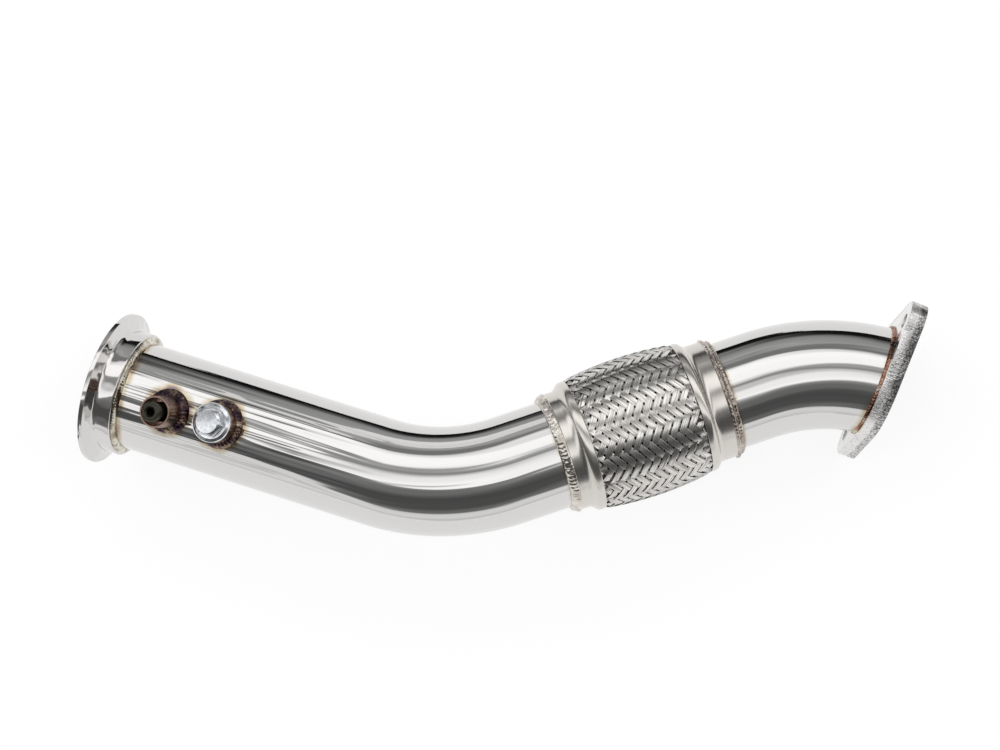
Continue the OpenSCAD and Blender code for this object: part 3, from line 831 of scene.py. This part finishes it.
def strand(hand, number):
    """One bundle from lip to lip: hand is 1 or -1, number its place in the row.

    Returns rows of points, and the same rows of along, across and depth in the weave."""
    steps = 74
    twist = math.radians(360 / BUNDLES) / BUNDLE_PITCH
    middle_r = BRAID_R - WEAVE_RISE - WIRE_R - BUNDLE_CROWN
    half = BRAID_LENGTH / 2 + 1.0
    lean = math.atan(twist * middle_r)
    along = np.linspace(-half, half, steps)
    angle = hand * twist * along + number * math.radians(360 / BUNDLES)
    step = angle / math.radians(180 / BUNDLES)
    wave = np.sin(0.5 * math.pi * (step + 0.5))
    wave = wave * (1.5 - 0.5 * wave**2)
    from_middle = np.abs(along)
    tuck = np.clip((from_middle - TUCK_FROM) / TUCK_RUN, 0, 1)
    narrowing = (BRAID_R - BRAID_SHOULDER_R) * (from_middle / (BRAID_LENGTH / 2 - 5)) ** 2
    radius = middle_r - narrowing - TUCK_DEPTH * tuck**2
    radius = radius + hand * wave * WEAVE_RISE * (1 - 0.75 * tuck)
    top = np.linspace(-0.5, 0.5, 2 * WIRES + 1)
    scallop = WIRE_R * np.abs(np.sin(np.pi * WIRES * (top + 0.5))) ** 0.8
    crown = BUNDLE_CROWN * (1 - (2 * top) ** 2)
    section = [(t * BUNDLE_WIDTH, s + c) for t, s, c in zip(top, scallop, crown)]
    section += [(side * BUNDLE_FLAT * BUNDLE_WIDTH, -WIRE_R) for side in (1, -1)]
    run, depth = along / math.cos(lean), 0.5 - 0.5 * hand * wave
    points, marks = [], []
    for across, height in section:
        a = angle + across * math.cos(lean) / radius
        x, r = along - hand * across * math.sin(lean), radius + height
        points.append(np.stack([x, r * np.cos(a), r * np.sin(a)], axis=1))
        marks.append(np.stack([run, np.full(steps, across), depth], axis=1))
    return np.stack(points, axis=1), np.stack(marks, axis=1)


def braid_unit(finish):
    """The four bundles that repeat round the coupler."""
    vertices, faces, marks, first = [], [], [], 0
    for hand, number in ((1, 0), (1, 1), (-1, 0), (-1, 1)):
        grid, mark = strand(hand, number)
        steps, count = grid.shape[:2]
        points, sides = grid.reshape(-1, 3), skin(steps, count, steps - 1)
        a, b, c = points[sides[0, :3]]
        if np.dot(np.cross(b - a, c - a), a * [0, 1, 1]) < 0:
            sides = sides[:, ::-1]
        vertices.append(points)
        marks.append(mark.reshape(-1, 3))
        faces.append(sides + first)
        first += len(points)
    unit = np.concatenate(vertices)
    obj = piece("wire_braid", unit, np.concatenate(faces), finish, 80)
    note(obj, "wire", np.concatenate(marks) * [MM, MM, 1.0])
    note(obj, "bundle", np.repeat(np.arange(4.0), [len(m) for m in marks]))
    return obj


def ring_tree():
    """Copies of one unit turned about X into a whole ring, each a shade of its own."""
    sockets = {"Unit": "Geometry", "Copies": "Int", "Seed": "Int", "Finish": "Material"}
    tree, node, given = new_growth("ring_of_bundles", sockets, "Ring")
    points = node("GeometryNodePoints", {"Count": given["Copies"]})
    share = node("Math", {0: math.tau, 1: given["Copies"]}, operation="DIVIDE")
    number = node("GeometryNodeInputIndex")
    angle = node("Math", {0: number, 1: share}, operation="MULTIPLY")
    turned_by = node("CombineXYZ", {"X": angle})
    copies = node(
        "GeometryNodeInstanceOnPoints",
        {"Points": points, "Instance": given["Unit"], "Rotation": turned_by},
    )
    shade_of_its_own = node(
        "FunctionNodeRandomValue", {"Seed": given["Seed"]}, out=1, data_type="FLOAT"
    )
    marked = node(
        "GeometryNodeStoreNamedAttribute",
        {"Geometry": copies, "Name": "shade", "Value": shade_of_its_own},
        domain="INSTANCE",
        data_type="FLOAT",
    )
    real = node("GeometryNodeRealizeInstances", {0: marked})
    dressed = node(
        "GeometryNodeSetMaterial", {"Geometry": real, "Material": given["Finish"]}
    )
    node("NodeGroupOutput", {0: dressed})
    return tree


def braid_finish():
    """Woven stainless wire: bright drawn strands of many tones, painted shade by the
    gaps.
    """
    finish, node = new_finish("woven_stainless_wire")
    wire = node("Attribute", out="Vector", attribute_name="wire")
    bundle = node("Attribute", out="Fac", attribute_name="bundle")
    shade_of_unit = node("Attribute", out="Fac", attribute_name="shade")
    # the tone runs on for 24 mm along a wire and changes from wire to wire
    scale = (1 / (24 * MM), WIRES / (BUNDLE_WIDTH * MM), 0.0)
    spread = node("VectorMath", {0: wire, 1: scale}, operation="MULTIPLY")
    jump = node("Math", {0: bundle, 1: 7.3}, operation="MULTIPLY")
    apart = node("Math", {0: shade_of_unit, 1: 40.0, 2: jump}, operation="MULTIPLY_ADD")
    shift = node("CombineXYZ", {"Z": apart})
    vector = node("VectorMath", {0: spread, 1: shift}, operation="ADD")
    tone = node("TexNoise", {"Vector": vector, "Scale": 1.0, "Detail": 2.0})
    tones = [(0.3, "#8d8882"), (0.5, "#cfccc8"), (0.7, "#f0eeeb")]
    colour = node("ValToRGB", {"Fac": tone}, stops=tones)
    parts = node("SeparateXYZ", {0: wire}).node.outputs
    across = node("Math", {0: parts[1]}, operation="ABSOLUTE")
    # painted shade: dark at the edges of a bundle and where it dives under the others
    edge = node(
        "MapRange",
        {
            "Value": across,
            "From Min": BUNDLE_FLAT * BUNDLE_WIDTH * MM,
            "From Max": 0.5 * BUNDLE_WIDTH * MM,
            "To Min": 1.0,
            "To Max": 0.5,
        },
    )
    dive = {"From Min": 0.5, "From Max": 0.95, "To Min": 1.0, "To Max": 0.5}
    low = node("MapRange", {"Value": parts[2], **dive})
    edge_and_dive_shade = node("Math", {0: edge, 1: low}, operation="MULTIPLY")
    darkened = node("VectorMath", {0: colour, "Scale": edge_and_dive_shade}, operation="SCALE")
    rough = node("MapRange", stretched(tone, 0.3, 0.16))
    return metal(finish, node, darkened, rough)


wire_steel = braid_finish()
copies = {"Copies": BUNDLES // 2, "Seed": 7, "Finish": wire_steel}
braid = grown(braid_unit(wire_steel), ring_tree(), copies)
braid_middle = on_flex(FLEX_AT + INLET_CAP + BRAID_LENGTH / 2)
braid.data.transform(Matrix.Scale(MM, 4) @ braid_middle @ Matrix.Scale(1 / MM, 4))
show(braid, "flex_braid")


# Plate and plug, softened at their edges
def softened(name, node, width, finish):
    """A merged copy of a CAD node with its sharp edges rounded, and its points."""
    obj = linked(name, frame["nodes"][node].data.copy(), finish)
    weld = obj.modifiers.new("merge", "WELD")
    weld.merge_threshold = 0.02 * MM
    bevel = obj.modifiers.new("edges", "BEVEL")
    bevel.width = width * MM
    bevel.segments = 2
    bevel.limit_method = "ANGLE"
    bevel.angle_limit = math.radians(28)
    mesh = settled(obj)
    for layer in [a.name for a in mesh.attributes if a.name.startswith("custom")]:
        mesh.attributes.remove(mesh.attributes[layer])
    shade(mesh, 34)
    points = np.empty(len(mesh.vertices) * 3)
    mesh.vertices.foreach_get("co", points)
    points = points.reshape(-1, 3) / MM
    note(obj, "weld_gap", weld_gap(points))
    return obj, points


# how far from the back of the plate its cut edge turns from smooth to torn
TORN_FROM, TORN_RUN = 6.0, 1.5


def cut_plate_finish():
    """Plate cut by a hot jet: its edge bright at the back, torn and dull at the front."""
    finish, node = new_finish("jet_cut_steel_plate")
    edge = node("Attribute", out="Fac", attribute_name="edge")
    local = node("Attribute", out="Vector", attribute_name="straight")
    scale = (1 / (6 * MM), 1 / (0.9 * MM), 1 / (0.9 * MM))
    scaled = node("VectorMath", {0: local, 1: scale}, operation="MULTIPLY")
    lines = node("TexNoise", {"Vector": scaled, "Scale": 1.0, "Detail": 3.0})
    pits = node(
        "TexNoise",
        {"Vector": local, "Scale": 1 / (1.3 * MM), "Detail": 4.0, "Roughness": 0.65},
    )
    cloud = node("TexNoise", {"Vector": local, "Scale": 1 / (22 * MM), "Detail": 1.0})
    span = {"From Min": 0.42, "From Max": 0.58, "To Min": 0.12, "To Max": 0.9}
    patch = node("MapRange", {"Value": cloud, **span})
    uneven = node("Math", {0: lines, 1: pits}, operation="ADD")
    height = node("Math", {0: uneven, 1: edge}, operation="MULTIPLY")
    bump = node("Bump", {"Height": height, "Strength": patch, "Distance": 0.55 * MM})
    rough = node("MapRange", stretched(pits, 0.08, 0.24))
    smooth_tones = [(0.3, "#77757a"), (0.4, "#d2d0cf"), (0.7, "#efeeed")]
    torn_tones = [(0.36, "#4a4948"), (0.48, "#9c9b99"), (0.6, "#dcdbda")]
    smooth = node("ValToRGB", {"Fac": pits}, stops=smooth_tones)
    torn = node("ValToRGB", {"Fac": pits}, stops=torn_tones)
    through = node("SeparateXYZ", {0: local}, out=0)
    turning = {"From Min": TORN_FROM * MM, "From Max": (TORN_FROM + TORN_RUN) * MM}
    front = node("MapRange", {"Value": through, **turning})
    share = node("Math", {0: front, 1: edge}, operation="MULTIPLY")
    base = node("Mix", {"Factor": share, 6: smooth, 7: torn}, out=2, data_type="RGBA")
    gap = node("Attribute", out="Fac", attribute_name="weld_gap")
    tint = node("ValToRGB", {"Fac": gap}, stops=HEAT_STOPS)
    colour = node("Mix", {"Factor": 1.0, 6: base, 7: tint}, **TINTED)
    return metal(finish, node, colour, rough, bump)


def zinc_finish():
    """Bright zinc plate on a forged plug: satin, with spanner scratches and dents."""
    finish, node = new_finish("worn_bright_zinc")
    local = node("TexCoord", out="Object")
    slanted = node(
        "Mapping",
        {
            "Vector": local,
            "Rotation": (0.3, 0.2, 0.6),
            "Scale": (1 / (6 * MM), 1 / (0.5 * MM), 1 / (0.5 * MM)),
        },
    )
    scratch = node("TexNoise", {"Vector": slanted, "Scale": 1.0, "Detail": 4.0})
    cloud = node("TexNoise", {"Vector": local, "Scale": 1 / (3.5 * MM), "Detail": 2.0})
    tones = [(0.3, "#b9bcc2"), (0.55, "#d9dbde"), (0.75, "#eceded")]
    colour = node("ValToRGB", {"Fac": cloud}, stops=tones)
    rough = node("MapRange", stretched(scratch, 0.1, 0.24))
    dents = node("Bump", {"Height": cloud, "Strength": 1.0, "Distance": 0.06 * MM})
    bump = node(
        "Bump",
        {"Height": scratch, "Strength": 1.0, "Distance": 0.012 * MM, "Normal": dents},
    )
    return metal(finish, node, colour, rough, bump)


plate, plate_points = softened("bolt_plate", "outlet_flange", 0.5, cut_plate_finish())
note(plate, "straight", placed(plate_points, FLANGE_BACK.inverted()) * MM)
normals = np.empty(len(plate.data.polygons) * 3)
plate.data.polygons.foreach_get("normal", normals)
facing = np.array(FLANGE_BACK.to_3x3() @ Vector((1, 0, 0)))
sideways = np.abs(normals.reshape(-1, 3) @ facing) < 0.7
note(plate, "edge", sideways.astype(float), "FACE")
show(plate, "outlet_flange")

plug, _ = softened("blanking_plug", "hex_plug", 0.25, zinc_finish())
show(plug, "hex_plug")


# CAD nodes that keep their own mesh and only get a finish
def cloudy_finish(name, grain, detail, dark, light, roughness, spread=0.0):
    """Dull metal, mottled between two tones; grain is its spots' size in millimetres."""
    finish, node = new_finish(name)
    local = node("TexCoord", out="Object")
    spots = {"Vector": local, "Scale": 1 / (grain * MM), "Detail": detail}
    cloud = node("TexNoise", spots)
    tones = [(0.3, dark), (0.7, light)]
    colour = node("ValToRGB", {"Fac": cloud}, stops=tones)
    if spread:
        shine = stretched(cloud, roughness - spread, roughness + spread)
        roughness = node("MapRange", shine)
    return metal(finish, node, colour, roughness)


# Soft copper sealing washer, squeezed and dulled
washer_copper = cloudy_finish("annealed_copper_washer", 2, 3.0, "#6d4a34", "#b58a5e", 0.4)
# Rolled stainless strip inside the coupler, dull and browned by the exhaust
inside_steel = cloudy_finish(
    "rolled_strip_inside", 1.5, 4.0, "#77726c", "#a19d98", 0.365, 0.085
)
# Bellows of folded stainless, painted near-black as shade: it makes the braid's gaps
# black
bellows_steel = cloudy_finish(
    "shade_painted_bellows", 1.5, 4.0, "#121110", "#2c2927", 0.365, 0.085
)
for node, finish in (
    ("plug_washer", washer_copper),
    ("flex_liner", inside_steel),
    ("flex_inlet_nipple", inside_steel),
    ("flex_outlet_nipple", inside_steel),
    ("flex_bellows", bellows_steel),
):
    for slot in frame["nodes"][node].material_slots:
        slot.material = finish


# Table, studio and camera
def sheet(name, corners, finish):
    """One flat face, its corners in metres, that belongs to the studio."""
    mesh = bpy.data.meshes.new(name)
    mesh.from_pydata(corners, [], [(0, 1, 2, 3)])
    obj = linked(name, mesh, finish)
    return obj


def wall(name, start, end, height, finish):
    """An upright sheet on the table, from one place to another."""
    corners = [(*start, 0.0), (*end, 0.0), (*end, height), (*start, height)]
    return sheet(name, corners, finish)


def table_finish():
    """White paper: plain matt white, shown as white to the eye and to the metal."""
    finish, node = new_finish("white_table_paper")
    rays = node("LightPath").node.outputs
    eye_and_mirror = {0: rays["Is Camera Ray"], 1: rays["Is Glossy Ray"]}
    seen = node("Math", eye_and_mirror, operation="ADD")
    seen = node(
        "Math",
        {0: seen, 1: rays["Is Transmission Ray"]},
        operation="ADD",
        use_clamp=True,
    )
    matt = node("BsdfDiffuse", {"Color": srgb("#e6e6e6")})
    dim = node("BsdfDiffuse", {"Color": srgb("#8c8c8c")})
    glow = node("Emission", {"Color": srgb("#ffffff"), "Strength": 0.84})
    lit = node("AddShader", {0: dim, 1: glow})
    both = node("MixShader", {0: seen, 1: matt, 2: lit})
    node("OutputMaterial", {"Surface": both})
    return finish


def fading_finish():
    """Card that fades from black at its foot to grey, seen only in the steel."""
    finish, node = new_finish("fading_card")
    local = node("TexCoord", out="Object")
    height = node("SeparateXYZ", {0: local}, out=2)
    share = node("MapRange", {"Value": height, "From Max": FADING_HEIGHT})
    tones = [
        (0.0, "#101010"), (0.26, "#1c1c1c"), (0.42, "#5c5c5c"), (0.62, "#a0a0a0"),
        (1.0, "#b2b2b2"),
    ]
    tone = node("ValToRGB", {"Fac": share}, stops=tones)
    glow = node("Emission", {"Color": tone})
    node("OutputMaterial", {"Surface": glow})
    return finish


def blotched_finish():
    """Dark and light shapes of the room at the inlet's end, seen only in the steel."""
    finish, node = new_finish("blotched_card")
    local = node("TexCoord", out="Object")
    cloud = node("TexNoise", {"Vector": local, "Scale": 16.0, "Detail": 1.0})
    tones = [(0.42, "#161616"), (0.48, "#3c3c3c"), (0.54, "#e8e8e8")]
    tone = node("ValToRGB", {"Fac": cloud}, stops=tones)
    glow = node("Emission", {"Color": tone})
    node("OutputMaterial", {"Surface": glow})
    return finish


# Places and sizes of the studio, in metres
TABLE, BACKDROP, BACKDROP_HEIGHT = 12.0, 9, 1.0
FADING_AT, FADING_REACH, FADING_HEIGHT = 0.2, 1.6, 0.108
BLOTCHED_AT, BLOTCHED_FROM, BLOTCHED_TO, BLOTCHED_HEIGHT = -0.42, 0.3, -0.16, 0.16

paper = table_finish()
square = ((-1, -1), (1, -1), (1, 1), (-1, 1))
sheet("table", [(x * TABLE, y * TABLE, 0) for x, y in square], paper)
posts = [(x * BACKDROP, y * BACKDROP) for x, y in square]
for side, start in enumerate(posts):
    end = posts[(side + 1) % len(posts)]
    wall("backdrop_%d" % side, start, end, BACKDROP_HEIGHT, paper)
fading_card = wall(
    "fading_card",
    (-FADING_REACH, FADING_AT),
    (FADING_REACH, FADING_AT),
    FADING_HEIGHT,
    fading_finish(),
)
blotched_card = wall(
    "blotched_card",
    (BLOTCHED_AT, BLOTCHED_FROM),
    (BLOTCHED_AT, BLOTCHED_TO),
    BLOTCHED_HEIGHT,
    blotched_finish(),
)
for unseen in (fading_card, blotched_card):
    unseen.visible_camera = False
    unseen.visible_diffuse = False
    unseen.visible_shadow = False

# The studio round the table: long soft boxes over it, a dark ceiling between them, pale
# walls. Each stop is an angle from straight up towards +Y in degrees, and its brightness.
STUDIO = [
    (-90, 0.62), (-74, 0.95), (-69, 0.9), (-64, 0.2), (-50, 0.1), (-34, 0.09),
    (-18, 0.2), (-8, 0.3), (-4, 1.4), (8, 1.25), (17, 0.8), (24, 0.35), (29, 0.5),
    (34, 1.4), (52, 1.45), (60, 1.1), (66, 0.25), (72, 0.25), (80, 0.5), (90, 0.3),
]


def light_studio():
    world = bpy.data.worlds.new("studio")
    bpy.context.scene.world = world
    world.use_nodes = True
    world.node_tree.nodes.clear()
    node = partial(add, world.node_tree)
    toward = node("TexCoord", out="Generated")
    parts = node("SeparateXYZ", {0: toward}).node.outputs
    angle = node("Math", {0: parts[1], 1: parts[2]}, operation="ARCTAN2")
    half_turn = {"From Min": -math.pi / 2, "From Max": math.pi / 2}
    place = node("MapRange", {"Value": angle, **half_turn})
    top = max(level for _, level in STUDIO)
    greys = [((a + 90) / 180, (level / top,) * 3 + (1,)) for a, level in STUDIO]
    bands = node("ValToRGB", {"Fac": place}, stops=greys)
    bands.node.color_ramp.interpolation = "EASE"
    glow = node("Background", {"Color": bands, "Strength": top})
    node("OutputWorld", {"Surface": glow})


light_studio()

# The camera, fitted to the outline in the photograph
camera = bpy.data.objects.new("camera", bpy.data.cameras.new("camera"))
bpy.context.collection.objects.link(camera)
camera.matrix_world = Matrix(
    (
        (0.995669, -0.008951, 0.092540, 0.37164),
        (0.0, 0.995355, 0.096272, 0.41547),
        (-0.092972, -0.095855, 0.991044, 4.06685),
        (0, 0, 0, 1),
    )
)
camera.data.sensor_width = 36.0
camera.data.lens = 208.5
camera.data.clip_end = 60.0
bpy.context.scene.camera = camera
bpy.context.scene.view_settings.view_transform = "Standard"
